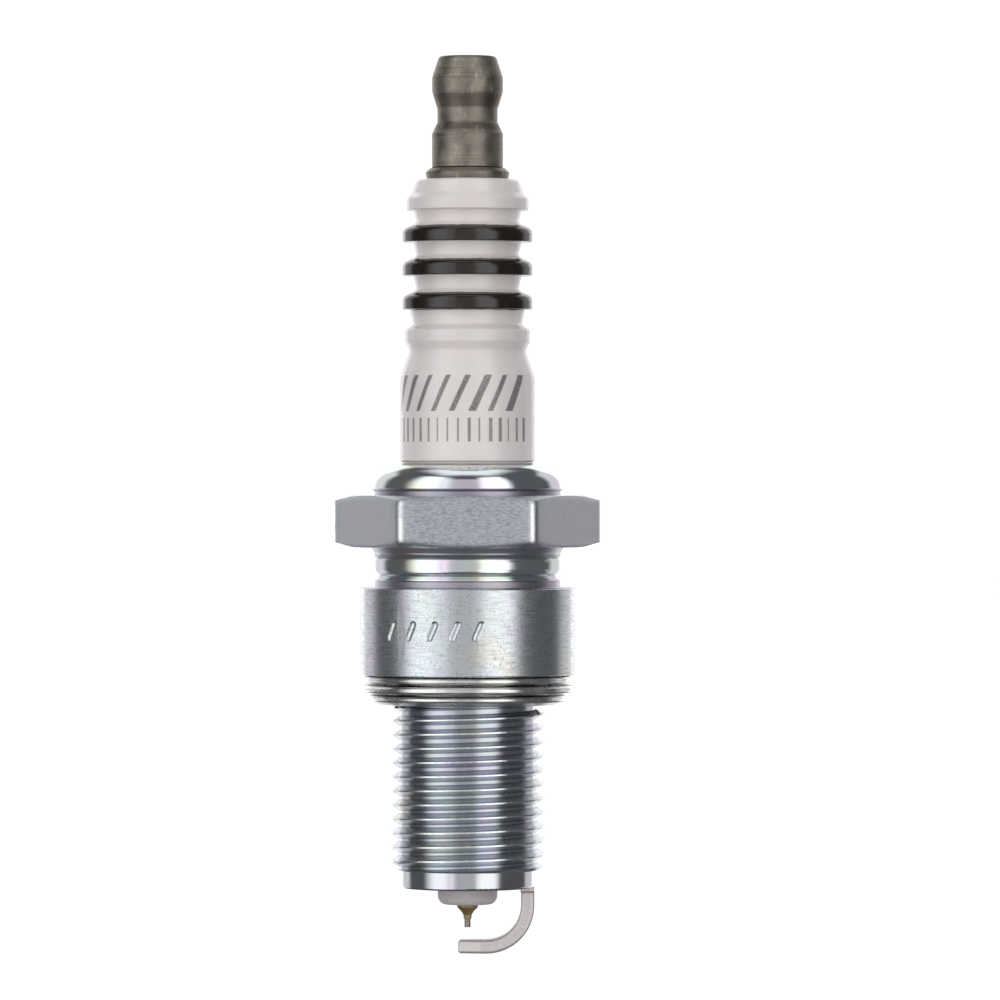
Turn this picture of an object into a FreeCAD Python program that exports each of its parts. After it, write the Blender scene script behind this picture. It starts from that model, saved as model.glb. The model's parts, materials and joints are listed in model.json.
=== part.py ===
import FreeCAD, Part
import math
import os

from FreeCAD import Vector

# A resistor spark plug with a 14 mm thread, a 19 mm reach and a 20.8 mm hexagon, in millimetres.
# The origin is the centre of the shell's seating face. +Z runs up to the terminal, and the
# ground electrode's leg is on +X. Outlines are lists of (radius, height) or
# (radius, height, corner rounding).

# Thread and pilot, below the seating face
THREAD_RADIUS = 6.97
THREAD_PITCH = 1.25
THREAD_TOP = -2.75
THREAD_BOTTOM = -17.4
THREAD_CHAMFER = 0.55
THREAD_GROOVE_START = -19.1  # where the helical groove crosses +X, below the blank
THREAD_WEDGES = 12
THREAD_HALF_ANGLE_DEG = 30.0
THREAD_DEPTH_PER_PITCH = 0.6134
THREAD_ROOT_PER_PITCH = 0.14
THREAD_CREST_ROOM = 0.15  # half the height that a crest takes up within one wedge
CUT_MARGIN_PER_PITCH = 0.04
REACH = 19.0
PILOT_RADIUS = 6.0
PILOT_ROUND = 0.22
NECK_RADIUS = 6.1
SEAT_CORNER_ROUND = 0.3

# Shell above the seating face
BARREL_RADIUS = 9.6
BARREL_TOP = 7.8
BARREL_EDGE_ROUND = 0.12
HEX_ACROSS_FLATS = 20.8
HEX_BOTTOM = 11.4
HEX_TOP = 16.0
HEX_EDGE_ROUND = 0.85
HEX_CHAMFER_INSET = 0.05
HEX_CHAMFER_DROP = 0.5
SHELL_NECK_RADIUS = 8.3
CRIMP_LIP_RADIUS = 6.15
CRIMP_LIP_TOP = 18.85
CRIMP_THICKNESS = 0.9
SWAGE_OUTLINE = [
    (8.26, BARREL_TOP, 0.1),
    (8.26, 8.36),
    (8.5, 8.46, 0.06),
    (8.5, 8.64, 0.06),
    (8.33, 8.78, 0.05),
    (8.6, 9.25, 0.9),
    (8.6, 10.35, 0.9),
    (8.3, 10.86, 0.08),
    (8.6, HEX_BOTTOM),
]
CRIMP_OUTLINE = [
    (SHELL_NECK_RADIUS, HEX_TOP),
    (SHELL_NECK_RADIUS, 16.4, 0.1),
    (8.66, 16.6, 0.12),
    (8.5, 18.35, 2.0),
    (CRIMP_LIP_RADIUS, CRIMP_LIP_TOP, 0.25),
]

# Room inside the shell
PILOT_BORE_RADIUS = 4.75
PILOT_BORE_TOP = -9.0
LEDGE_RADIUS = 4.1
LEDGE_BOTTOM = -8.2
WAIST_BORE_RADIUS = 5.1
WAIST_TOP = 2.4
SHELL_BORE_RADIUS = 7.7
SHELL_BORE_BOTTOM = 4.8
SHELL_BORE_TOP = 17.4
BORE_CORNER_ROUND = 0.5

# Dents stamped in the barrel
MARK_COUNT = 5
MARK_STEP_DEG = 12.4
MARK_FIRST_DEG = -133.5
MARK_HEIGHT = 4.05
MARK_LENGTH = 1.75
MARK_RADIUS = 0.5
MARK_DEPTH = 0.14
MARK_SLANT_DEG = 24.0

# Seat between the insulator and the shell: a cone with a washer on it
SEAT_OUTER_RADIUS = 4.98
SEAT_OUTER_HEIGHT = -5.4
SEAT_SLOPE = 0.6
PACKING_THICKNESS = 0.45

# Insulator, from the bore and nose up to the head
STUD_BORE_RADIUS = 2.0
ELECTRODE_BORE_RADIUS = 1.27
BORE_STEP_TOP = 1.2
BORE_STEP_BOTTOM = 0.5
NOSE_BOTTOM = -20.5
NOSE_ROOT_RADIUS = 3.85
NOSE_OUTLINE = [(2.64, NOSE_BOTTOM, 0.75), (2.7, -18.0, 2.0), (NOSE_ROOT_RADIUS, -8.5, 2.0)]
STEM_RADIUS = 6.0
STEM_INNER_RADIUS = 5.8  # below the step, inside the crimp
STEM_STEP = 19.1
STEM_BOTTOM = 13.3
BODY_OUTLINE = [(SEAT_OUTER_RADIUS, 3.2, 0.5), (7.6, 5.6, 0.5), (7.6, 12.5, 0.3)]
WAIST_OUTLINE = [
    (STEM_RADIUS, 26.6, 3.0),
    (5.18, 28.9, 0.6),
    (5.58, 29.75, 0.3),
    (5.58, 30.75, 0.2),
    (4.9, 31.2, 0.25),
    (5.12, 32.55, 0.1),
]
RIB_RADIUS = 5.8
RIB_COUNT = 3
RIB_PITCH = 3.0
TOP_RIB_BOTTOM = 38.6
RIB_ROOT_RADIUS = 4.82
RIB_CORNER_ROUND = 0.12
RIB_SHOULDER = (1.12, 0.55)  # height above the rib's bottom, and rounding
GROOVE_FLOOR = (4.55, 1.75, 0.35)  # radius, height above the rib's bottom, and rounding
HEAD_BOTTOM = 41.45
INSULATOR_TOP = 44.2
HEAD_OUTLINE = [
    (5.45, HEAD_BOTTOM, 0.12),
    (5.45, 42.48, 0.25),
    (5.0, 42.92, 0.5),
    (4.52, INSULATOR_TOP, 0.4),
]

# Talc and wire rings above the insulator's shoulder
WIRE_RADIUS = 0.83
LOWER_RING_HEIGHT = 14.0
UPPER_RING_HEIGHT = 16.35

# Conducting column inside the insulator
LOWER_SEAL_TOP = 8.5
RESISTOR_TOP = 17.0
UPPER_SEAL_TOP = 24.5
STUD_BOTTOM = 18.6
STUD_RADIUS = 1.92
STUD_GRIP_RADIUS = 1.6
STUD_GRIP_COUNT = 4
STUD_GRIP_PITCH = 1.2
STUD_GRIP_SIDE = 0.2
COLLAR_TOP = 45.2
COLLAR_OUTLINE = [(3.62, INSULATOR_TOP), (3.76, 44.82, 0.12), (3.36, COLLAR_TOP, 0.1)]
STUD_THREAD_RADIUS = 1.98
STUD_THREAD_PITCH = 0.7
STUD_TOP = 52.9
STUD_END_CHAMFER = 0.5

# Terminal nut
NUT_BOTTOM = 45.25
NUT_OUTLINE = [
    (3.175, NUT_BOTTOM, 0.08),
    (3.175, 48.28, 0.12),
    (2.69, 49.32, 0.3),
    (2.69, 50.5, 0.9),
    (3.17, 52.05, 1.0),
    (3.17, 53.3, 1.3),
    (2.55, 55.2, 0.3),
]
NUT_BORE_RADIUS = 2.05
NUT_BORE_TOP = 53.3
NUT_BORE_CHAMFER = 0.35
DRILL_POINT = 0.9

# Centre electrode
ELECTRODE_RADIUS = 1.24
ELECTRODE_BOTTOM = -21.8
ELECTRODE_END_OUTLINE = [
    (0.36, ELECTRODE_BOTTOM, 0.05),
    (0.38, -21.42, 0.3),
    (0.6, -21.1, 0.3),
    (0.95, -20.76, 0.05),
    (0.95, -20.35),
]
ELECTRODE_HEAD_RADIUS = 1.85
ELECTRODE_HEAD_TOP = 2.2
ELECTRODE_KNOB_RADIUS = 1.2
ELECTRODE_KNOB_TOP = 3.6
ELECTRODE_SHANK_BOTTOM = -20.1
COPPER_RADIUS = 0.75
COPPER_BOTTOM = -18.5
IRIDIUM_RADIUS = 0.28
IRIDIUM_TOP = -21.35
IRIDIUM_BOTTOM = -22.55

# Ground electrode
SPARK_GAP = 1.1
STRAP_THICKNESS = 1.2
STRAP_WIDTH = 2.6
STRAP_OUTER_X = 5.97
STRAP_BEND_RADIUS = 3.1
STRAP_END_X = -0.84
STRAP_END_WIDTH = 1.7
STRAP_TAPER_X = 1.2
STRAP_EDGE_ROUND = 0.28
WELD_HEIGHT = 0.35
WELD_SWELL = 0.07
WELD_ROUND = 0.1

# Folded gasket: the middle of the sheet, from its inner edge at the top to the one at the bottom
GASKET_SHEET = 0.26
FOLD = 0.17
GASKET_PATH = [
    (6.75, -0.2),
    (9.15, -0.2, FOLD),
    (9.15, -0.56, FOLD),
    (7.1, -0.6, FOLD),
    (7.1, -0.98, FOLD),
    (9.49, -1.02, FOLD),
    (9.49, -1.42, FOLD),
    (7.1, -1.5, FOLD),
    (7.1, -1.88, FOLD),
    (8.84, -1.88, FOLD),
    (8.68, -2.2, FOLD),
    (7.95, -2.5, 0.25),
    (7.25, -2.5),
]

AXIS = Vector(0, 0, 1)
CENTRE = Vector(0, 0, 0)
FULL_TURN = 360.0
CLEAR = 1.0  # how far a cutting shape runs past what it cuts


def corner_arc(before, corner, after, radius):
    """The start, middle and end of the arc that rounds a corner."""
    to_before = (before - corner).normalize()
    to_after = (after - corner).normalize()
    half_angle = to_before.getAngle(to_after) / 2.0
    reach = radius / math.tan(half_angle)
    bisector = (to_before + to_after).normalize()
    middle = corner + bisector * (radius / math.sin(half_angle) - radius)
    return corner + to_before * reach, middle, corner + to_after * reach


def outline_edges(points, closed=True):
    """Edges through points (x, z) or (x, z, rounding radius) in the XZ plane."""
    corners = [Vector(point[0], 0, point[1]) for point in points]
    rounds = [point[2] if len(point) > 2 else 0.0 for point in points]
    count = len(points)
    starts = []
    ends = []
    arcs = []
    for i in range(count):
        corner = corners[i]
        if rounds[i] > 0.0:
            start, middle, end = corner_arc(corners[i - 1], corner, corners[(i + 1) % count], rounds[i])
            arcs.append(Part.Arc(start, middle, end).toShape())
        else:
            start = corner
            end = corner
            arcs.append(None)
        starts.append(start)
        ends.append(end)
    edges = []
    for i in range(count):
        if arcs[i] is not None:
            edges.append(arcs[i])
        following = (i + 1) % count
        if following == 0 and not closed:
            break
        if ends[i].distanceToPoint(starts[following]) > 1e-6:
            edges.append(Part.LineSegment(ends[i], starts[following]).toShape())
    return edges


def outline_face(points):
    return Part.Face(Part.Wire(outline_edges(points)))


def turned(points, angle=FULL_TURN):
    """A solid of revolution about Z from a closed outline of (radius, height) points."""
    return outline_face(points).revolve(CENTRE, AXIS, angle)


def bar(outline):
    """A solid turned from an outline that runs up its outside, closed through the axis."""
    return turned([(0, outline[0][1])] + outline + [(0, outline[-1][1])])


def cylinder(radius, bottom, top):
    return Part.makeCylinder(radius, top - bottom, Vector(0, 0, bottom))


def ring(inner_radius, outer_radius, bottom, top):
    return cylinder(outer_radius, bottom, top).cut(cylinder(inner_radius, bottom, top))


def thread_groove(radius, pitch, bottom, top):
    """A helical groove, which leaves a 60 degree thread when it is cut from a bar."""
    depth = THREAD_DEPTH_PER_PITCH * pitch
    margin = CUT_MARGIN_PER_PITCH * pitch
    root_half_width = THREAD_ROOT_PER_PITCH * pitch / 2
    flank_slope = math.tan(math.radians(THREAD_HALF_ANGLE_DEG))
    mouth_half_width = root_half_width + (depth + margin) * flank_slope
    root_radius = radius - depth
    mouth_radius = radius + margin
    outer_radius = radius + pitch / 2
    corners = [
        Vector(root_radius, 0, -root_half_width),
        Vector(mouth_radius, 0, -mouth_half_width),
        Vector(outer_radius, 0, -mouth_half_width),
        Vector(outer_radius, 0, mouth_half_width),
        Vector(mouth_radius, 0, mouth_half_width),
        Vector(root_radius, 0, root_half_width),
    ]
    profile = Part.makePolygon(corners + corners[:1])
    helix = Part.makeLongHelix(pitch, top - bottom, radius)
    groove = Part.Wire(helix.Edges).makePipeShell([profile], True, True)
    groove.translate(Vector(0, 0, bottom))
    return groove


def crest_height(wedge, height):
    """Height of the crest halfway across a wedge, on the turn nearest to a height."""
    first = THREAD_GROOVE_START + THREAD_PITCH * (0.5 + (wedge + 0.5) / THREAD_WEDGES)
    return first + THREAD_PITCH * round((height - first) / THREAD_PITCH)


def thread_blank_wedge(wedge):
    """One wedge of a chamfered sleeve, whose chamfers start between two crests, not across one."""
    inner_radius = NECK_RADIUS - THREAD_CHAMFER
    chamfered_radius = THREAD_RADIUS - THREAD_CHAMFER
    full_from = THREAD_BOTTOM + THREAD_CHAMFER
    full_to = THREAD_TOP - THREAD_CHAMFER
    low_crest = crest_height(wedge, full_from)
    high_crest = crest_height(wedge, full_to)
    if abs(full_from - low_crest) < THREAD_CREST_ROOM:
        full_from = low_crest + THREAD_CREST_ROOM
    if abs(full_to - high_crest) < THREAD_CREST_ROOM:
        full_to = high_crest - THREAD_CREST_ROOM
    points = [
        (inner_radius, THREAD_BOTTOM),
        (chamfered_radius, THREAD_BOTTOM),
        (THREAD_RADIUS, full_from),
        (THREAD_RADIUS, full_to),
        (chamfered_radius, THREAD_TOP),
        (inner_radius, THREAD_TOP),
    ]
    return turned(points, FULL_TURN / THREAD_WEDGES)


def main_thread():
    """The threaded sleeve, made of wedges so that its crest comes in short faces."""
    wedges = []
    for i in range(THREAD_WEDGES):
        wedge = thread_blank_wedge(i)
        wedge.rotate(CENTRE, AXIS, i * FULL_TURN / THREAD_WEDGES)
        wedges.append(wedge)
    blank = wedges[0].fuse(wedges[1:])
    top = THREAD_TOP + THREAD_PITCH
    return blank.cut(thread_groove(THREAD_RADIUS, THREAD_PITCH, THREAD_GROOVE_START, top))


def hexagon():
    """The wrench hexagon, with a flat facing -Y, rounded edges and turned chamfers."""
    corner_radius = HEX_ACROSS_FLATS / math.sqrt(3)
    points = []
    for i in range(6):
        angle = math.radians(60.0 * i)
        points.append(
            (corner_radius * math.cos(angle), corner_radius * math.sin(angle), HEX_EDGE_ROUND)
        )
    prism = outline_face(points).extrude(Vector(0, -(HEX_TOP - HEX_BOTTOM), 0))
    prism.rotate(CENTRE, Vector(1, 0, 0), -90)
    prism.translate(Vector(0, 0, HEX_BOTTOM))
    flat_radius = HEX_ACROSS_FLATS / 2 - HEX_CHAMFER_INSET
    chamfers = bar(
        [
            (flat_radius, HEX_BOTTOM),
            (corner_radius, HEX_BOTTOM + HEX_CHAMFER_DROP),
            (corner_radius, HEX_TOP - HEX_CHAMFER_DROP),
            (flat_radius, HEX_TOP),
        ]
    )
    return prism.common(chamfers)


def shell_bar():
    """The turned outside of the shell, from the pilot up to the crimped lip."""
    pilot_and_barrel = [
        (PILOT_RADIUS, -REACH, PILOT_ROUND),
        (PILOT_RADIUS, THREAD_BOTTOM),
        (NECK_RADIUS, THREAD_BOTTOM),
        (NECK_RADIUS, 0, SEAT_CORNER_ROUND),
        (BARREL_RADIUS, 0, BARREL_EDGE_ROUND),
        (BARREL_RADIUS, BARREL_TOP, BARREL_EDGE_ROUND),
    ]
    return bar(pilot_and_barrel + SWAGE_OUTLINE + CRIMP_OUTLINE)


def seat_height(radius):
    """Height of the insulator's seat cone at a radius."""
    return SEAT_OUTER_HEIGHT - (SEAT_OUTER_RADIUS - radius) * SEAT_SLOPE


def shell_bore():
    """The room inside the shell, as one solid: crimp, body, waist, seat ledge and firing end."""
    return bar(
        [
            (PILOT_BORE_RADIUS, -REACH - CLEAR),
            (PILOT_BORE_RADIUS, PILOT_BORE_TOP, BORE_CORNER_ROUND),
            (LEDGE_RADIUS, LEDGE_BOTTOM, BORE_CORNER_ROUND),
            (LEDGE_RADIUS, seat_height(LEDGE_RADIUS) - PACKING_THICKNESS),
            (WAIST_BORE_RADIUS, seat_height(WAIST_BORE_RADIUS) - PACKING_THICKNESS),
            (WAIST_BORE_RADIUS, WAIST_TOP, BORE_CORNER_ROUND),
            (SHELL_BORE_RADIUS, SHELL_BORE_BOTTOM, BORE_CORNER_ROUND),
            (SHELL_BORE_RADIUS, SHELL_BORE_TOP, BORE_CORNER_ROUND),
            (CRIMP_LIP_RADIUS, CRIMP_LIP_TOP - CRIMP_THICKNESS),
            (CRIMP_LIP_RADIUS, CRIMP_LIP_TOP + CLEAR),
        ]
    )


def barrel_mark(angle):
    """One slanted dent with round ends, sunk into the barrel at an angle about Z."""
    axis_radius = BARREL_RADIUS - MARK_DEPTH + MARK_RADIUS
    half = (MARK_LENGTH - MARK_RADIUS) / 2
    rod = Part.makeCylinder(MARK_RADIUS, 2 * half, Vector(0, 0, -half))
    low_end = Part.makeSphere(MARK_RADIUS, Vector(0, 0, -half))
    high_end = Part.makeSphere(MARK_RADIUS, Vector(0, 0, half))
    mark = rod.fuse([low_end, high_end])
    mark.rotate(CENTRE, Vector(1, 0, 0), -MARK_SLANT_DEG)
    mark.translate(Vector(axis_radius, 0, MARK_HEIGHT))
    mark.rotate(CENTRE, AXIS, angle)
    return mark


def metal_shell():
    """Plated steel shell: thread, barrel, hexagon and crimped lip in one piece."""
    shell = shell_bar().fuse([hexagon(), main_thread()])
    shell = shell.cut(shell_bore())
    marks = [barrel_mark(MARK_FIRST_DEG + i * MARK_STEP_DEG) for i in range(MARK_COUNT)]
    return shell.cut(marks)


def rib_outline():
    """The ribs and the grooves between them, from the lowest rib up to the head."""
    shoulder_height, shoulder_round = RIB_SHOULDER
    groove_radius, groove_height, groove_round = GROOVE_FLOOR
    lowest_rib = TOP_RIB_BOTTOM - (RIB_COUNT - 1) * RIB_PITCH
    points = []
    for i in range(RIB_COUNT):
        rib_bottom = lowest_rib + i * RIB_PITCH
        if i > 0:
            points.append((RIB_ROOT_RADIUS, rib_bottom, RIB_CORNER_ROUND))
        points.append((RIB_RADIUS, rib_bottom, RIB_CORNER_ROUND))
        points.append((RIB_RADIUS, rib_bottom + shoulder_height, shoulder_round))
        points.append((groove_radius, rib_bottom + groove_height, groove_round))
    points.append((RIB_ROOT_RADIUS, HEAD_BOTTOM, RIB_CORNER_ROUND))
    return points


def insulator():
    """Alumina insulator: ribbed head, stem, body, seat cone and nose, with a stepped bore."""
    seat_inner_radius = NOSE_ROOT_RADIUS + 0.1
    bore = [
        (STUD_BORE_RADIUS, INSULATOR_TOP),
        (STUD_BORE_RADIUS, BORE_STEP_TOP),
        (ELECTRODE_BORE_RADIUS, BORE_STEP_BOTTOM),
        (ELECTRODE_BORE_RADIUS, NOSE_BOTTOM, 0.1),
    ]
    seat = [
        (seat_inner_radius, seat_height(seat_inner_radius), 0.2),
        (SEAT_OUTER_RADIUS, SEAT_OUTER_HEIGHT, 0.15),
    ]
    stem = [
        (STEM_INNER_RADIUS, STEM_BOTTOM, 0.4),
        (STEM_INNER_RADIUS, STEM_STEP - 0.1),
        (STEM_RADIUS, STEM_STEP),
    ]
    below_ribs = bore + NOSE_OUTLINE + seat + BODY_OUTLINE + stem + WAIST_OUTLINE
    return turned(below_ribs + rib_outline() + HEAD_OUTLINE)


def terminal_stud():
    """Steel stud: threaded end for the nut, collar on the insulator, and a ringed grip."""
    outline = [(STUD_GRIP_RADIUS, STUD_BOTTOM, STUD_GRIP_SIDE / 2)]
    for i in range(STUD_GRIP_COUNT):
        ring_bottom = STUD_BOTTOM + STUD_GRIP_PITCH * (i + 1 / 3)
        ring_top = ring_bottom + STUD_GRIP_PITCH * 2 / 3
        outline.append((STUD_GRIP_RADIUS, ring_bottom))
        outline.append((STUD_RADIUS, ring_bottom + STUD_GRIP_SIDE))
        outline.append((STUD_RADIUS, ring_top - STUD_GRIP_SIDE))
        outline.append((STUD_GRIP_RADIUS, ring_top))
    outline += [
        (STUD_GRIP_RADIUS, UPPER_SEAL_TOP - 3 * STUD_GRIP_SIDE),
        (STUD_RADIUS, UPPER_SEAL_TOP - STUD_GRIP_SIDE),
        (STUD_RADIUS, INSULATOR_TOP),
    ]
    outline += COLLAR_OUTLINE
    outline += [
        (STUD_THREAD_RADIUS, COLLAR_TOP),
        (STUD_THREAD_RADIUS, STUD_TOP - STUD_END_CHAMFER),
        (STUD_THREAD_RADIUS - STUD_END_CHAMFER, STUD_TOP),
    ]
    groove = thread_groove(
        STUD_THREAD_RADIUS, STUD_THREAD_PITCH, COLLAR_TOP + STUD_THREAD_PITCH, STUD_TOP + STUD_THREAD_PITCH
    )
    return bar(outline).cut(groove)


def terminal_nut():
    """Screw-on terminal: barbell outside, plain running bore inside."""
    bore = bar(
        [
            (NUT_BORE_RADIUS + NUT_BORE_CHAMFER, NUT_BOTTOM - CLEAR),
            (NUT_BORE_RADIUS + NUT_BORE_CHAMFER, NUT_BOTTOM),
            (NUT_BORE_RADIUS, NUT_BOTTOM + NUT_BORE_CHAMFER),
            (NUT_BORE_RADIUS, NUT_BORE_TOP),
            (0, NUT_BORE_TOP + DRILL_POINT),
        ]
    )
    return bar(NUT_OUTLINE).cut(bore)


def center_electrode():
    """Nickel electrode: head on the bore's step, long shank, tapered end with a socket."""
    shank_and_head = [
        (ELECTRODE_RADIUS, ELECTRODE_SHANK_BOTTOM),
        (ELECTRODE_RADIUS, BORE_STEP_BOTTOM),
        (ELECTRODE_HEAD_RADIUS, BORE_STEP_TOP),
        (ELECTRODE_HEAD_RADIUS, ELECTRODE_HEAD_TOP, 0.2),
        (ELECTRODE_KNOB_RADIUS, ELECTRODE_HEAD_TOP, 0.1),
        (ELECTRODE_KNOB_RADIUS, ELECTRODE_KNOB_TOP, 0.2),
    ]
    copper_room = cylinder(COPPER_RADIUS, COPPER_BOTTOM, ELECTRODE_KNOB_TOP)
    tip_room = cylinder(IRIDIUM_RADIUS, ELECTRODE_BOTTOM, IRIDIUM_TOP)
    return bar(ELECTRODE_END_OUTLINE + shank_and_head).cut([copper_room, tip_room])


def strap_side(arm_top, arm_bottom):
    """The strap seen along Y, as a face in the XZ plane: leg, bend and arm."""
    inner_x = STRAP_OUTER_X - STRAP_THICKNESS
    return outline_face(
        [
            (inner_x, -REACH),
            (inner_x, arm_top, STRAP_BEND_RADIUS),
            (STRAP_END_X, arm_top),
            (STRAP_END_X, arm_bottom),
            (STRAP_OUTER_X, arm_bottom, STRAP_BEND_RADIUS + STRAP_THICKNESS),
            (STRAP_OUTER_X, -REACH),
        ]
    )


def strap_plan():
    """The strap seen from above, as a face in the XY plane: full width, tapered at its end."""
    half = STRAP_WIDTH / 2
    end_half = STRAP_END_WIDTH / 2
    corners = [
        Vector(STRAP_END_X, -end_half, 0),
        Vector(STRAP_TAPER_X, -half, 0),
        Vector(STRAP_OUTER_X, -half, 0),
        Vector(STRAP_OUTER_X, half, 0),
        Vector(STRAP_TAPER_X, half, 0),
        Vector(STRAP_END_X, end_half, 0),
    ]
    return Part.Face(Part.makePolygon(corners + corners[:1]))


def ground_electrode():
    """Bent nickel strap: leg on the shell's end, arm under the tip, with a tapered end."""
    arm_top = IRIDIUM_BOTTOM - SPARK_GAP
    arm_bottom = arm_top - STRAP_THICKNESS
    strap = strap_side(arm_top, arm_bottom).extrude(Vector(0, STRAP_WIDTH, 0))
    strap.translate(Vector(0, -STRAP_WIDTH / 2, 0))
    strap = strap.common(strap_plan().extrude(Vector(0, 0, -2 * REACH)))
    edges = []
    for edge in strap.Edges:
        on_shell = edge.BoundBox.ZMin > -REACH - CLEAR
        if not on_shell:
            edges.append(edge)
    strap = strap.makeFillet(STRAP_EDGE_ROUND, edges)
    weld = Part.makeBox(
        STRAP_THICKNESS + WELD_SWELL,
        STRAP_WIDTH + 2 * WELD_SWELL,
        WELD_HEIGHT,
        Vector(
            STRAP_OUTER_X - STRAP_THICKNESS - WELD_SWELL,
            -STRAP_WIDTH / 2 - WELD_SWELL,
            -REACH - WELD_HEIGHT,
        ),
    )
    weld = weld.makeFillet(WELD_ROUND, [edge for edge in weld.Edges if edge.BoundBox.ZMax < -REACH])
    return strap.fuse(weld).removeSplitter()


def gasket():
    """Crush gasket: thin sheet folded into three lobes that show on the outside."""
    path = Part.Wire(outline_edges(GASKET_PATH, closed=False))
    band = path.makeOffset2D(GASKET_SHEET / 2, 0, False, False)
    return Part.Face(band).revolve(CENTRE, AXIS, FULL_TURN)


def packing_washer():
    """Soft washer between the insulator's seat cone and the shell's ledge."""
    inner_radius = LEDGE_RADIUS + 0.05
    return turned(
        [
            (inner_radius, seat_height(inner_radius)),
            (SEAT_OUTER_RADIUS, seat_height(SEAT_OUTER_RADIUS)),
            (SEAT_OUTER_RADIUS, seat_height(SEAT_OUTER_RADIUS) - PACKING_THICKNESS),
            (inner_radius, seat_height(inner_radius) - PACKING_THICKNESS),
        ]
    )


def wire_ring(height):
    """A closed ring of round wire in the gap between the insulator and the shell."""
    middle_radius = (STEM_INNER_RADIUS + SHELL_BORE_RADIUS) / 2
    return Part.makeTorus(middle_radius, WIRE_RADIUS, Vector(0, 0, height))


def talc_filling():
    sleeve = ring(STEM_INNER_RADIUS, SHELL_BORE_RADIUS, LOWER_RING_HEIGHT, UPPER_RING_HEIGHT)
    return sleeve.cut([wire_ring(LOWER_RING_HEIGHT), wire_ring(UPPER_RING_HEIGHT)])


def bore_filling(bottom, top, *inserts):
    """What fills the insulator's stepped bore between two heights, around its inserts."""
    room = bar(
        [
            (ELECTRODE_BORE_RADIUS, BORE_STEP_BOTTOM),
            (STUD_BORE_RADIUS, BORE_STEP_TOP),
            (STUD_BORE_RADIUS, INSULATOR_TOP),
        ]
    )
    filling = room.common(cylinder(STUD_BORE_RADIUS, bottom, top))
    for insert in inserts:
        filling = filling.cut(insert)
    return filling


def nodes():
    """Every sub-part by name."""
    stud = terminal_stud()
    electrode = center_electrode()
    copper = cylinder(COPPER_RADIUS, COPPER_BOTTOM, ELECTRODE_KNOB_TOP)
    return {
        "terminal_nut": terminal_nut(),
        "terminal_stud": stud,
        "insulator": insulator(),
        "upper_glass_seal": bore_filling(RESISTOR_TOP, UPPER_SEAL_TOP, stud),
        "resistor": bore_filling(LOWER_SEAL_TOP, RESISTOR_TOP),
        "lower_glass_seal": bore_filling(BORE_STEP_TOP, LOWER_SEAL_TOP, electrode, copper),
        "center_electrode": electrode,
        "copper_core": copper,
        "iridium_tip": cylinder(IRIDIUM_RADIUS, IRIDIUM_BOTTOM, IRIDIUM_TOP),
        "metal_shell": metal_shell(),
        "ground_electrode": ground_electrode(),
        "packing_washer": packing_washer(),
        "talc_filling": talc_filling(),
        "lower_wire_ring": wire_ring(LOWER_RING_HEIGHT),
        "upper_wire_ring": wire_ring(UPPER_RING_HEIGHT),
        "gasket": gasket(),
    }


os.makedirs("parts", exist_ok=True)
for name, shape in nodes().items():
    shape.exportStep("parts/" + name + ".step")
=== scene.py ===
import json
import math

import bpy
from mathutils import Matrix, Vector


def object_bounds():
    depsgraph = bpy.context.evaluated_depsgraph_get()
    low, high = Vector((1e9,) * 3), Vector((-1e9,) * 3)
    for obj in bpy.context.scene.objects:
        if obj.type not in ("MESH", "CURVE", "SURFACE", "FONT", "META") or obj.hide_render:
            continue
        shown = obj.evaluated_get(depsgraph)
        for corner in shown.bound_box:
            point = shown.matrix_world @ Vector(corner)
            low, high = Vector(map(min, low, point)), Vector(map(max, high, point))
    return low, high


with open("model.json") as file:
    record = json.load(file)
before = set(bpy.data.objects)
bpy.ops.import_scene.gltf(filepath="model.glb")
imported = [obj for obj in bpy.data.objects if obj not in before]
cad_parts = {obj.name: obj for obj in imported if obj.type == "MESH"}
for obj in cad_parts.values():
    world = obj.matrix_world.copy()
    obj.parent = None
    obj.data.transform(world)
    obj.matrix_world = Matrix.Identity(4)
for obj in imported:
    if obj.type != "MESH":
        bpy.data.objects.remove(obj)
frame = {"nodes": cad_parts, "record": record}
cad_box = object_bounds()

MM = 0.001

# Heights and radii on the plug, in metres, that the finishes change at
PILOT_TOP = -17.4 * MM
SEAT = 0.0
BARREL_TOP = 7.8 * MM
HEX_BOTTOM = 11.4 * MM
HEX_TOP = 16.0 * MM
NECK_TOP = 16.5 * MM
# The waist's bands under the hexagon and above the barrel are painted darker, as painted shade, and given
# a satin roughness
WAIST_SHADE_BANDS = [(BARREL_TOP, 8.38 * MM), (10.86 * MM, HEX_BOTTOM)]
HEX_CORNER_RADIUS = 11.7 * MM
THREAD_ROOT_RADIUS = 6.3 * MM
THREAD_CREST_RADIUS = 6.85 * MM
STEM_RADIUS = 6.0 * MM
LOWEST_BAND = (32.55 * MM, 34.1 * MM)
BAND_PITCH = 3.0 * MM
BAND_COUNT = 3
BAND_RADIUS = 4.95 * MM
NOSE_GLAZE_END = -10.0 * MM
# Heights of two bands on the nut that are painted darker: painted shade under its ball and at the base of
# its neck
NUT_SHADE_BANDS = [(50.75 * MM, 51.95 * MM), (48.75 * MM, 49.35 * MM)]
WELD = -19.35 * MM
WELD_HALF_HEIGHT = 0.07 * MM
BROWN_FADE_RADII = (1.2 * MM, 1.6 * MM)
BROWN_FADE_HEIGHTS = (-23.4 * MM, -23.0 * MM)

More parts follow.
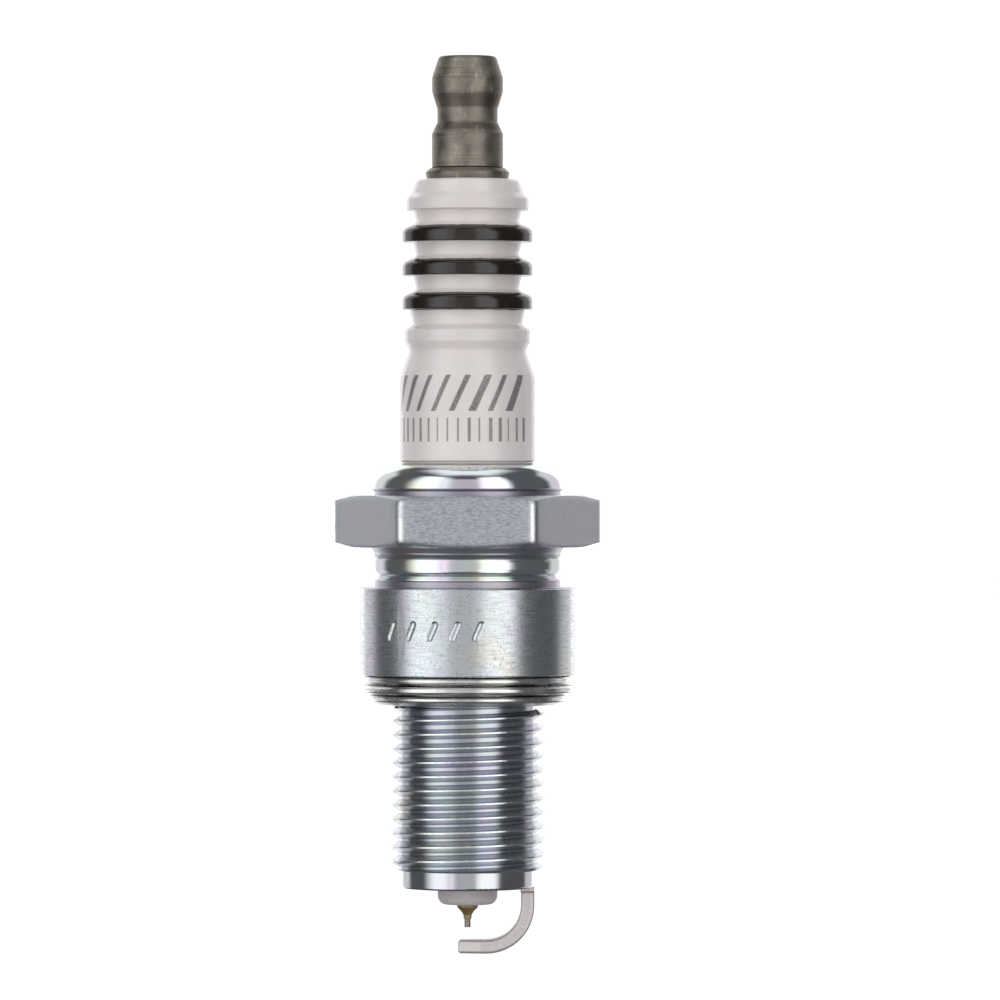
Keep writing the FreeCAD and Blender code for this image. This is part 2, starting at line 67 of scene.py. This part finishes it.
# Rows of plain bars printed on the stem. Bars are numbered from the middle of the front, and their
# widths are the least and most of the pitch that they take up.
BOLD_ROW = {
    "heights": (23.5 * MM, 26.7 * MM),
    "pitch": 1.75 * MM,
    "slant": math.radians(25.0),
    "numbers": (-9, 2),
    "widths": (0.3, 0.55),
}
FINE_ROW = {
    "heights": (20.8 * MM, 22.9 * MM),
    "pitch": 0.95 * MM,
    "slant": 0.0,
    "numbers": (-16, 6),
    "widths": (0.18, 0.45),
}
BAR_EDGE = 0.05  # share of the pitch that half of a bar's soft edge takes up

# Camera
CAMERA_DISTANCE = 0.6
CAMERA_HEIGHT = 17.3 * MM
CAMERA_AIM_HEIGHT = 15.6 * MM
CAMERA_SIDE_SHIFT = 2.9 * MM
CAMERA_FRAME_WIDTH = 89.3 * MM
CAMERA_SENSOR = 36.0
CAMERA_CLIP_START = 0.01

# Lights. The softboxes are tall, and reach far above and below the plug.
SOFTBOX_HEIGHT = 1.2
SOFTBOX_CENTRE = 0.17
SOFTBOX_END_EDGE = 0.15
OVERHEAD_HEIGHT = 0.6
OVERHEAD_WIDTH = 0.7
OVERHEAD_RADIANCE = 0.9
OVERHEAD_EDGE = 0.3
WHITE = (1.0, 1.0, 1.0)
LEFT_TINT = (0.985, 1.0, 1.0)
RIGHT_TINT = (1.0, 1.0, 0.995)
LEFT_WING_TINT = (1.0, 0.97, 0.985)
RIGHT_WING_TINT = (1.0, 0.965, 0.98)
WORLD_SEEN = 1.1
WORLD_DIM = 0.11

# Floor
FLOOR_HALF_WIDTH = 3.0
FLOOR_GLOW = 1.02


# Node helpers


def new_material(name):
    """A new material, its node tree and its Principled shader."""
    material = bpy.data.materials.new(name)
    material.use_nodes = True
    tree = material.node_tree
    return material, tree, tree.nodes["Principled BSDF"]


def feed(tree, socket, value):
    """Sets a socket to a number or colour, or links another socket to it."""
    if isinstance(value, bpy.types.NodeSocket):
        tree.links.new(value, socket)
    else:
        socket.default_value = value


def add(tree, kind, inputs=None, **settings):
    """A new node with its settings and inputs, by name or number."""
    node = tree.nodes.new(kind)
    for name, value in settings.items():
        setattr(node, name, value)
    for key, value in (inputs or {}).items():
        feed(tree, node.inputs[key], value)
    return node


def maths(tree, operation, a, b=0.0, c=0.0):
    return add(tree, "ShaderNodeMath", {0: a, 1: b, 2: c}, operation=operation).outputs[0]


def times(tree, a, b):
    return maths(tree, "MULTIPLY", a, b)


def highest(tree, a, b):
    return maths(tree, "MAXIMUM", a, b)


def object_place(tree):
    """The point in the row frame, in metres, that rides with the piece."""
    return add(tree, "ShaderNodeTexCoord").outputs["Object"]


def separate(tree, vector):
    return add(tree, "ShaderNodeSeparateXYZ", {0: vector}).outputs


def radius_of(tree, x, y):
    """Distance from the plug's axis."""
    return maths(tree, "SQRT", maths(tree, "ADD", times(tree, x, x), times(tree, y, y)))


def angle_of(tree, x, y):
    """Angle about the plug's axis from the middle of the front, + towards +X."""
    return maths(tree, "ARCTAN2", x, times(tree, y, -1.0))


def ramp(tree, value, low, high, low_out=0.0, high_out=1.0):
    """A smooth step of value from low to high."""
    inputs = {"Value": value, "From Min": low, "From Max": high, "To Min": low_out, "To Max": high_out}
    return add(tree, "ShaderNodeMapRange", inputs, interpolation_type="SMOOTHSTEP").outputs["Result"]


def between(tree, value, low, high, soft):
    """1 where value lies between low and high, with soft edges."""
    rise = ramp(tree, value, low - soft, low + soft)
    fall = ramp(tree, value, high - soft, high + soft, 1.0, 0.0)
    return times(tree, rise, fall)


def mix_colour(tree, factor, a, b):
    """Colour a where factor is 0 and b where it is 1. A colour is a socket or (red, green, blue)."""
    node = add(tree, "ShaderNodeMix", data_type="RGBA", blend_type="MIX")
    feed(tree, node.inputs["Factor"], factor)
    for key, colour in (("A", a), ("B", b)):
        feed(tree, node.inputs[key], (*colour, 1.0) if isinstance(colour, tuple) else colour)
    return node.outputs["Result"]


def mix_value(tree, factor, a, b):
    node = add(tree, "ShaderNodeMix", data_type="FLOAT")
    feed(tree, node.inputs["Factor"], factor)
    feed(tree, node.inputs["A"], a)
    feed(tree, node.inputs["B"], b)
    return node.outputs["Result"]


def noise(tree, place, size, detail=3.0, roughness=0.55, stretch=(1.0, 1.0, 1.0)):
    """Noise whose features are about size metres, stretched along each axis."""
    scaled = add(tree, "ShaderNodeMapping", {"Vector": place})
    scaled.inputs["Scale"].default_value = [1.0 / (size * s) for s in stretch]
    inputs = {"Vector": scaled.outputs[0], "Scale": 1.0, "Detail": detail, "Roughness": roughness}
    return add(tree, "ShaderNodeTexNoise", inputs).outputs["Fac"]


def bump(tree, height, distance, strength=1.0, under=None):
    """Normals of a height of up to distance metres, on top of the normals under it."""
    inputs = {"Height": height, "Distance": distance, "Strength": strength}
    if under is not None:
        inputs["Normal"] = under
    return add(tree, "ShaderNodeBump", inputs).outputs["Normal"]


def shade(tree, shader, colour, metallic, roughness, normal):
    """Gives the shader its colour, metal, roughness and surface."""
    feed(tree, shader.inputs["Base Color"], colour)
    shader.inputs["Metallic"].default_value = metallic
    feed(tree, shader.inputs["Roughness"], roughness)
    feed(tree, shader.inputs["Normal"], normal)


# Zinc plate, on the shell


def plating_tints(tree, place):
    """A slow drift between faint violet, blue, green and yellow, as thin plating shows."""
    colours = [(0.84, 0.75, 0.87), (0.78, 0.83, 0.87), (0.79, 0.87, 0.82), (0.90, 0.85, 0.72)]
    first_stop = 0.3
    stop_span = 0.4
    drift = noise(tree, place, 3.2 * MM, detail=1.0)
    node = add(tree, "ShaderNodeValToRGB", {"Fac": drift})
    stops = node.color_ramp.elements
    while len(stops) < len(colours):
        stops.new(0.5)
    for i, colour in enumerate(colours):
        stops[i].position = first_stop + stop_span * i / (len(colours) - 1)
        stops[i].color = (*colour, 1.0)
    return node.outputs["Color"]


def hexagon_colour(tree, angle, fine, streaks, corner_wear):
    """Grained flats, every other one rougher and darker, with worn corners."""
    three_sided = maths(tree, "COSINE", times(tree, angle, 3.0))
    rough_flats = ramp(tree, three_sided, -0.5, 0.5, 0.15, 1.0)
    pits = times(tree, ramp(tree, streaks, 0.32, 0.60, 0.75, 0.0), rough_flats)
    colour = mix_colour(tree, ramp(tree, fine, 0.3, 0.7), (0.66, 0.69, 0.73), (0.80, 0.83, 0.87))
    colour = mix_colour(tree, times(tree, rough_flats, 0.5), colour, (0.46, 0.49, 0.55))
    colour = mix_colour(tree, pits, colour, (0.30, 0.31, 0.35))
    return mix_colour(tree, corner_wear, colour, (0.90, 0.90, 0.90))


def barrel_colour(tree, tints, fine, lines, patches):
    """Turned plate with dark tool lines and patches of dark speckle."""
    colour = mix_colour(tree, 0.45, tints, (0.58, 0.60, 0.65))
    colour = mix_colour(tree, ramp(tree, lines, 0.3, 0.6, 0.4, 0.0), colour, (0.42, 0.43, 0.46))
    specks = ramp(tree, fine, 0.32, 0.5, 0.7, 0.0)
    speckle = times(tree, specks, ramp(tree, patches, 0.35, 0.6, 0.35, 1.0))
    return mix_colour(tree, speckle, colour, (0.24, 0.25, 0.29))


def thread_colour(tree, tints, radius, fine):
    """Rolled thread, dark with painted shade at its root and rubbed bright on its crest."""
    # Painted shade: the thread is darkened towards its root
    root_shade = ramp(tree, radius, THREAD_ROOT_RADIUS - 0.1 * MM, THREAD_ROOT_RADIUS + 0.2 * MM, 0.35, 0.0)
    crest = ramp(tree, radius, THREAD_CREST_RADIUS - 0.05 * MM, THREAD_CREST_RADIUS + 0.05 * MM)
    crest_wear = times(tree, crest, ramp(tree, fine, 0.4, 0.6))
    colour = mix_colour(tree, 0.45, tints, (0.58, 0.60, 0.68))
    colour = mix_colour(tree, root_shade, colour, (0.22, 0.22, 0.25))
    return mix_colour(tree, crest_wear, colour, (0.95, 0.94, 0.92))


def zinc_plate():
    """The shell: bright plated crimp and waist, grained hexagon, turned barrel, rolled thread, with
    painted shade on the neck, on the waist's bands, on the pilot and at the thread's root.
    """
    material, tree, shader = new_material("zinc_plate")
    place = object_place(tree)
    x, y, z = separate(tree, place)
    radius = radius_of(tree, x, y)
    on_hex = between(tree, z, HEX_BOTTOM, HEX_TOP, 0.05 * MM)
    on_barrel = between(tree, z, SEAT, BARREL_TOP, 0.05 * MM)
    on_thread = between(tree, z, PILOT_TOP, SEAT, 0.1 * MM)
    on_pilot = ramp(tree, z, PILOT_TOP - 0.1 * MM, PILOT_TOP + 0.1 * MM, 1.0, 0.0)
    on_neck = between(tree, z, HEX_TOP, NECK_TOP, 0.1 * MM)
    for low, high in WAIST_SHADE_BANDS:
        on_neck = highest(tree, on_neck, between(tree, z, low, high, 0.04 * MM))

    tints = plating_tints(tree, place)
    fine = noise(tree, place, 0.2 * MM, detail=4.0, roughness=0.7)
    streaks = noise(tree, place, 0.12 * MM, detail=4.0, roughness=0.65, stretch=(3.5, 3.5, 1.0))
    lines = noise(tree, place, 0.11 * MM, detail=3.0, stretch=(14.0, 14.0, 1.0))
    patches = noise(tree, place, 1.6 * MM, detail=3.0)
    at_corner = ramp(tree, radius, HEX_CORNER_RADIUS, HEX_CORNER_RADIUS + 0.2 * MM)
    corner_wear = times(tree, at_corner, ramp(tree, patches, 0.3, 0.5))

    angle = angle_of(tree, x, y)
    # Painted shade: the pilot is coloured darker than the rest of the plate, for the weaker fill light low
    # down
    shaded_pilot_colour = mix_colour(tree, 0.6, tints, (0.56, 0.56, 0.60))
    # Painted shade: the neck and the waist's bands are coloured dark purple-grey for the shade under the
    # hexagon and under the crimp
    shaded_neck_colour = mix_colour(tree, 0.8, tints, (0.40, 0.36, 0.44))
    colour = mix_colour(tree, on_pilot, tints, shaded_pilot_colour)
    colour = mix_colour(tree, on_hex, colour, hexagon_colour(tree, angle, fine, streaks, corner_wear))
    colour = mix_colour(tree, on_neck, colour, shaded_neck_colour)
    colour = mix_colour(tree, on_barrel, colour, barrel_colour(tree, tints, fine, lines, patches))
    colour = mix_colour(tree, on_thread, colour, thread_colour(tree, tints, radius, fine))

    bright = ramp(tree, patches, 0.3, 0.7, 0.10, 0.17)
    hex_roughness = mix_value(tree, corner_wear, ramp(tree, fine, 0.3, 0.7, 0.34, 0.46), 0.2)
    roughness = mix_value(tree, on_hex, bright, hex_roughness)
    roughness = mix_value(tree, on_neck, roughness, 0.35)
    roughness = mix_value(tree, on_barrel, roughness, ramp(tree, lines, 0.3, 0.7, 0.34, 0.22))
    roughness = mix_value(tree, on_thread, roughness, ramp(tree, fine, 0.3, 0.7, 0.16, 0.26))

    eased_radius = times(tree, on_hex, 0.7 * MM)
    eased = add(tree, "ShaderNodeBevel", {"Radius": eased_radius}, samples=6).outputs["Normal"]
    pitted = highest(tree, on_hex, times(tree, on_barrel, 0.7))
    surface = bump(tree, times(tree, streaks, pitted), 0.012 * MM, 0.6, eased)
    surface = bump(tree, times(tree, lines, on_barrel), 0.012 * MM, 0.6, surface)
    shade(tree, shader, colour, 1.0, roughness, surface)
    return material


# Nickel plate, on the terminal nut and the stud


def nickel_plate():
    """Dull olive-brown nickel, turned and scratched by plug caps, with painted shade in bands under the
    ball and at the base of the neck.
    """
    material, tree, shader = new_material("nickel_plate")
    place = object_place(tree)
    z = separate(tree, place)["Z"]
    lines = noise(tree, place, 0.14 * MM, detail=2.0, stretch=(60.0, 60.0, 1.0))
    patches = noise(tree, place, 1.2 * MM, detail=4.0)
    scratches = noise(tree, place, 0.13 * MM, detail=1.0, stretch=(2.0, 2.0, 9.0))
    colour = mix_colour(tree, ramp(tree, patches, 0.3, 0.7), (0.235, 0.205, 0.180), (0.345, 0.318, 0.255))
    colour = mix_colour(tree, ramp(tree, lines, 0.3, 0.5, 0.4, 0.0), colour, (0.12, 0.10, 0.09))
    ragged_z = maths(tree, "MULTIPLY_ADD", patches, 0.3 * MM, z)
    # Painted shade: two bands of the nut are darkened, under the ball and at the base of the neck
    for low, high in NUT_SHADE_BANDS:
        painted_shade = times(tree, between(tree, ragged_z, low, high, 0.12 * MM), 0.6)
        colour = mix_colour(tree, painted_shade, colour, (0.11, 0.083, 0.076))
    scratched = ramp(tree, scratches, 0.62, 0.72, 0.0, 0.5)
    scratched = times(tree, scratched, ramp(tree, patches, 0.45, 0.6))
    colour = mix_colour(tree, scratched, colour, (0.58, 0.55, 0.48))
    roughness = ramp(tree, patches, 0.2, 0.8, 0.40, 0.52)
    shade(tree, shader, colour, 1.0, roughness, bump(tree, lines, 0.012 * MM, 0.6))
    return material


# Glazed alumina, on the insulator


def printed_row(tree, angle, z, heights, pitch, slant, numbers, widths):
    """A row of plain bars of uneven width, printed part of the way round the stem."""
    least, most = widths
    first, last = numbers
    around = times(tree, angle, STEM_RADIUS / pitch)
    leaned = times(tree, maths(tree, "SUBTRACT", z, heights[0]), math.tan(slant) / pitch)
    along = maths(tree, "SUBTRACT", around, leaned)
    number = maths(tree, "FLOOR", along)
    spot = maths(tree, "FRACT", along)
    chance = add(tree, "ShaderNodeTexWhiteNoise", {"W": number}, noise_dimensions="1D").outputs["Value"]
    width = maths(tree, "MULTIPLY_ADD", chance, most - least, least)
    still_bar = ramp(tree, maths(tree, "SUBTRACT", width, spot), -BAR_EDGE, BAR_EDGE)
    bar = times(tree, still_bar, ramp(tree, spot, 0.0, 2 * BAR_EDGE))
    in_numbers = between(tree, number, first - 0.5, last + 0.5, 0.5)
    return times(tree, bar, times(tree, between(tree, z, *heights, 0.05 * MM), in_numbers))


def stem_print(tree, place, angle, z):
    """How much ink the two printed rows leave on the glaze."""
    bold = times(tree, printed_row(tree, angle, z, **BOLD_ROW), 0.85)
    fine = times(tree, printed_row(tree, angle, z, **FINE_ROW), 0.75)
    ink_wear = noise(tree, place, 0.12 * MM, detail=2.0)
    return times(tree, highest(tree, bold, fine), ramp(tree, ink_wear, 0.25, 0.5, 0.55, 1.0))


def rib_bands(tree, radius, ragged_z):
    """Where the dark bands run round the ribs."""
    low, high = LOWEST_BAND
    bands = between(tree, ragged_z, low, high, 0.04 * MM)
    for i in range(1, BAND_COUNT):
        rise = i * BAND_PITCH
        bands = highest(tree, bands, between(tree, ragged_z, low + rise, high + rise, 0.04 * MM))
    return times(tree, bands, ramp(tree, radius, BAND_RADIUS - 0.05 * MM, BAND_RADIUS + 0.05 * MM))


def glazed_alumina():
    """Warm white glaze, dark fired bands on three ribs, plain print, bare nose."""
    material, tree, shader = new_material("glazed_alumina")
    place = object_place(tree)
    x, y, z = separate(tree, place)
    wobble = noise(tree, place, 0.8 * MM, detail=2.0)
    ragged_z = maths(tree, "MULTIPLY_ADD", wobble, 0.12 * MM, z)
    bands = rib_bands(tree, radius_of(tree, x, y), ragged_z)
    ink = stem_print(tree, place, angle_of(tree, x, y), z)
    bare = ramp(tree, z, NOSE_GLAZE_END - 1.0 * MM, NOSE_GLAZE_END + 1.0 * MM, 1.0, 0.0)
    cloud = noise(tree, place, 3.5 * MM, detail=2.0)
    speckle = noise(tree, place, 0.15 * MM, detail=3.0)

    wobble_step = ramp(tree, wobble, 0.3, 0.7)
    band_colour = mix_colour(tree, wobble_step, (0.012, 0.007, 0.006), (0.022, 0.017, 0.010))
    nose_colour = mix_colour(tree, ramp(tree, speckle, 0.3, 0.7), (0.72, 0.66, 0.665), (0.82, 0.76, 0.765))
    colour = mix_colour(tree, ramp(tree, cloud, 0.3, 0.7), (0.90, 0.825, 0.81), (0.93, 0.875, 0.855))
    colour = mix_colour(tree, ink, colour, (0.11, 0.09, 0.088))
    colour = mix_colour(tree, bands, colour, band_colour)
    colour = mix_colour(tree, bare, colour, nose_colour)

    glaze_roughness = ramp(tree, noise(tree, place, 1.0 * MM), 0.3, 0.7, 0.16, 0.27)
    glaze_roughness = mix_value(tree, bands, glaze_roughness, 0.13)
    roughness = mix_value(tree, bare, glaze_roughness, 0.7)
    ripple = bump(tree, wobble, 0.01 * MM, 0.35)
    surface = bump(tree, times(tree, speckle, bare), 0.02 * MM, 0.5, ripple)
    shader.inputs["IOR"].default_value = 1.6
    shade(tree, shader, colour, 0.0, roughness, surface)
    return material


# Other finishes


def nickel_alloy():
    """Ground and centre electrodes: satin pale alloy, heat-browned in the middle of the nose."""
    material, tree, shader = new_material("nickel_alloy")
    place = object_place(tree)
    x, y, z = separate(tree, place)
    grain = noise(tree, place, 0.14 * MM, detail=4.0, roughness=0.65)
    drawn = noise(tree, place, 0.12 * MM, detail=2.0, stretch=(30.0, 1.0, 30.0))
    patches = noise(tree, place, 0.9 * MM, detail=2.0)
    grain_step = ramp(tree, grain, 0.3, 0.7)
    colour = mix_colour(tree, grain_step, (0.72, 0.68, 0.67), (0.88, 0.85, 0.84))
    colour = mix_colour(tree, ramp(tree, patches, 0.45, 0.65, 0.0, 0.5), colour, (0.84, 0.70, 0.68))
    weld = between(tree, z, WELD - WELD_HALF_HEIGHT, WELD + WELD_HALF_HEIGHT, 0.05 * MM)
    colour = mix_colour(tree, times(tree, weld, 0.75), colour, (0.17, 0.12, 0.11))
    near_axis = ramp(tree, radius_of(tree, x, y), *BROWN_FADE_RADII, 1.0, 0.0)
    browned = times(tree, near_axis, ramp(tree, z, *BROWN_FADE_HEIGHTS))
    brown = mix_colour(tree, grain_step, (0.30, 0.19, 0.09), (0.50, 0.37, 0.20))
    colour = mix_colour(tree, browned, colour, brown)
    roughness = ramp(tree, grain, 0.3, 0.7, 0.40, 0.52)
    surface = bump(tree, grain, 0.012 * MM, 0.5)
    shade(tree, shader, colour, 0.7, roughness, bump(tree, drawn, 0.01 * MM, 0.4, surface))
    return material


def gasket_steel():
    """Folded gasket: bright rolled sheet, painted dark with shade down in the folds."""
    material, tree, shader = new_material("gasket_steel")
    place = object_place(tree)
    patches = noise(tree, place, 1.4 * MM, detail=3.0)
    lines = noise(tree, place, 0.1 * MM, detail=2.0, stretch=(80.0, 80.0, 1.0))
    open_sky = add(tree, "ShaderNodeAmbientOcclusion", {"Distance": 0.45 * MM}, samples=8).outputs["AO"]
    colour = mix_colour(tree, ramp(tree, patches, 0.3, 0.7), (0.72, 0.73, 0.69), (0.88, 0.88, 0.87))
    # Painted shade: the colour darkens to dark olive where ambient occlusion finds the folds
    colour = mix_colour(tree, ramp(tree, open_sky, 0.05, 0.35, 0.8, 0.0), colour, (0.06, 0.063, 0.035))
    colour = mix_colour(tree, ramp(tree, lines, 0.3, 0.45, 0.35, 0.0), colour, (0.35, 0.35, 0.33))
    roughness = ramp(tree, patches, 0.3, 0.7, 0.16, 0.28)
    shade(tree, shader, colour, 1.0, roughness, bump(tree, lines, 0.006 * MM, 0.4))
    return material


def grained(name, dark, light, grain_size, roughness, metallic, depth):
    """A plain finish with fine grain, for the tip and the pieces inside."""
    material, tree, shader = new_material(name)
    grain = noise(tree, object_place(tree), grain_size, detail=4.0)
    colour = mix_colour(tree, ramp(tree, grain, 0.3, 0.7), dark, light)
    grain_roughness = ramp(tree, grain, 0.3, 0.7, roughness - 0.06, roughness + 0.06)
    shade(tree, shader, colour, metallic, grain_roughness, bump(tree, grain, depth, 0.5))
    return material


def finishes():
    """One material for each of the record's slots."""
    materials = {
        "zinc_plate": zinc_plate(),
        "nickel_plate": nickel_plate(),
        "glazed_alumina": glazed_alumina(),
        "nickel_alloy": nickel_alloy(),
        "gasket_steel": gasket_steel(),
    }
    # Slot, dark and light colour, grain size, roughness, metallic, and depth of the grain
    grained_finishes = [
        ("iridium", (0.26, 0.22, 0.21), (0.36, 0.31, 0.29), 0.1 * MM, 0.35, 1.0, 0.004 * MM),
        ("copper", (0.70, 0.33, 0.20), (0.85, 0.47, 0.32), 0.3 * MM, 0.3, 1.0, 0.005 * MM),
        ("bare_steel", (0.40, 0.40, 0.41), (0.55, 0.55, 0.57), 0.3 * MM, 0.35, 1.0, 0.01 * MM),
        ("conducting_glass", (0.16, 0.09, 0.06), (0.34, 0.22, 0.16), 0.25 * MM, 0.3, 0.0, 0.01 * MM),
        ("resistor_body", (0.02, 0.02, 0.022), (0.07, 0.07, 0.075), 0.2 * MM, 0.7, 0.0, 0.01 * MM),
        ("talc", (0.70, 0.69, 0.64), (0.86, 0.85, 0.81), 0.25 * MM, 0.95, 0.0, 0.02 * MM),
    ]
    for slot, *look in grained_finishes:
        materials[slot] = grained(slot, *look)
    return materials


def dress_nodes():
    """Gives every CAD node the material of its slot in the record."""
    materials = finishes()
    for subpart in frame["record"]["subparts"]:
        node = frame["nodes"][subpart["node"]]
        node.data.materials.clear()
        node.data.materials.append(materials[subpart["material_slot"]])


# Studio


def soft_edged(light_data, radiance, side_edge, end_edge):
    """Makes an area light even in the middle and faded towards its sides and ends."""
    light_data.use_nodes = True
    tree = light_data.node_tree
    across, along, _ = separate(tree, add(tree, "ShaderNodeNewGeometry").outputs["Parametric"])
    fade = radiance
    for place, edge in ((across, side_edge), (along, end_edge)):
        fade = times(tree, ramp(tree, place, 0.0, edge), fade)
        fade = times(tree, ramp(tree, place, 1.0 - edge, 1.0, 1.0, 0.0), fade)
    feed(tree, tree.nodes["Emission"].inputs["Strength"], fade)


def area_light(name, location, width, length, radiance, side_edge, end_edge):
    """A soft rectangular light that faces down and that the camera doesn't see."""
    data = bpy.data.lights.new(name, "AREA")
    data.shape = "RECTANGLE"
    data.size = width
    data.size_y = length
    data.energy = math.pi * width * length
    soft_edged(data, radiance, side_edge, end_edge)
    light = bpy.data.objects.new(name, data)
    light.location = location
    light.visible_camera = False
    bpy.context.scene.collection.objects.link(light)
    return light


def softbox(name, azimuth, distance, width, radiance, edge, tint=WHITE):
    """A tall soft light that faces the plug. Azimuth 0 is the camera's side, + its right."""
    angle = math.radians(azimuth)
    location = Vector((distance * math.sin(angle), -distance * math.cos(angle), SOFTBOX_CENTRE))
    light = area_light(name, location, width, SOFTBOX_HEIGHT, radiance, edge, SOFTBOX_END_EDGE)
    light.data.color = tint
    aim = Vector((0.0, 0.0, SOFTBOX_CENTRE)) - location
    light.rotation_euler = aim.to_track_quat("-Z", "Y").to_euler()


def overhead():
    """A square soft light above the plug."""
    place = (0.0, 0.0, OVERHEAD_HEIGHT)
    width = OVERHEAD_WIDTH
    area_light("overhead", place, width, width, OVERHEAD_RADIANCE, OVERHEAD_EDGE, OVERHEAD_EDGE)


def studio_lights():
    """Two main lights at the sides, a weak one in front, a lit sheet and its wings behind."""
    softbox(
        "softbox_left", azimuth=-49.0, distance=0.5, width=0.67, radiance=1.26, edge=0.42, tint=LEFT_TINT
    )
    softbox(
        "softbox_right", azimuth=35.5, distance=0.5, width=0.46, radiance=1.31, edge=0.3, tint=RIGHT_TINT
    )
    softbox("front_fill", azimuth=-5.0, distance=0.7, width=0.7, radiance=0.44, edge=0.1)
    softbox("backdrop", azimuth=180.0, distance=0.8, width=1.3, radiance=1.0, edge=0.2)
    wing = {"distance": 0.8, "width": 0.82, "edge": 0.25}
    softbox("wing_left", azimuth=-138.5, radiance=0.70, tint=LEFT_WING_TINT, **wing)
    softbox("wing_right", azimuth=138.5, radiance=0.64, tint=RIGHT_WING_TINT, **wing)
    overhead()


def studio_world():
    """White to the camera, dim to everything else, as a plug in front of a lit sheet."""
    world = bpy.data.worlds.new("studio")
    world.use_nodes = True
    tree = world.node_tree
    seen = tree.nodes["Background"]
    seen.inputs["Color"].default_value = (1.0, 1.0, 1.0, 1.0)
    seen.inputs["Strength"].default_value = WORLD_SEEN
    dim = add(tree, "ShaderNodeBackground", {"Color": (0.9, 0.92, 1.0, 1.0), "Strength": WORLD_DIM})
    is_camera = add(tree, "ShaderNodeLightPath").outputs["Is Camera Ray"]
    inputs = {0: is_camera, 1: dim.outputs[0], 2: seen.outputs[0]}
    mixer = add(tree, "ShaderNodeMixShader", inputs)
    feed(tree, tree.nodes["World Output"].inputs["Surface"], mixer.outputs[0])
    bpy.context.scene.world = world


def floor():
    """A pale lit floor under the plug's lowest point. It lights nothing itself."""
    half = FLOOR_HALF_WIDTH
    height = cad_box[0][2]
    mesh = bpy.data.meshes.new("floor")
    corners = [(-half, -half, height), (half, -half, height), (half, half, height), (-half, half, height)]
    mesh.from_pydata(corners, [], [(0, 1, 2, 3)])
    sheet = bpy.data.objects.new("floor", mesh)
    bpy.context.scene.collection.objects.link(sheet)
    material, _, shader = new_material("floor_white")
    shader.inputs["Base Color"].default_value = (0.16, 0.16, 0.16, 1.0)
    shader.inputs["Roughness"].default_value = 1.0
    shader.inputs["Specular IOR Level"].default_value = 0.0
    shader.inputs["Emission Color"].default_value = (1.0, 1.0, 1.0, 1.0)
    shader.inputs["Emission Strength"].default_value = FLOOR_GLOW
    mesh.materials.append(material)
    sheet.visible_glossy = False
    sheet.visible_diffuse = False
    sheet.visible_shadow = False


def camera():
    """A long lens level with the plug's middle, so its two ends are seen a little from outside."""
    data = bpy.data.cameras.new("camera")
    data.sensor_width = CAMERA_SENSOR
    data.clip_start = CAMERA_CLIP_START
    eye = Vector((CAMERA_SIDE_SHIFT, -CAMERA_DISTANCE, CAMERA_HEIGHT))
    target = Vector((CAMERA_SIDE_SHIFT, 0.0, CAMERA_AIM_HEIGHT))
    data.lens = data.sensor_width * (target - eye).length / CAMERA_FRAME_WIDTH
    eye_object = bpy.data.objects.new("camera", data)
    eye_object.location = eye
    eye_object.rotation_euler = (target - eye).to_track_quat("-Z", "Y").to_euler()
    bpy.context.scene.collection.objects.link(eye_object)
    bpy.context.scene.camera = eye_object


dress_nodes()
studio_lights()
studio_world()
floor()
camera()
bpy.context.scene.view_settings.view_transform = "Standard"
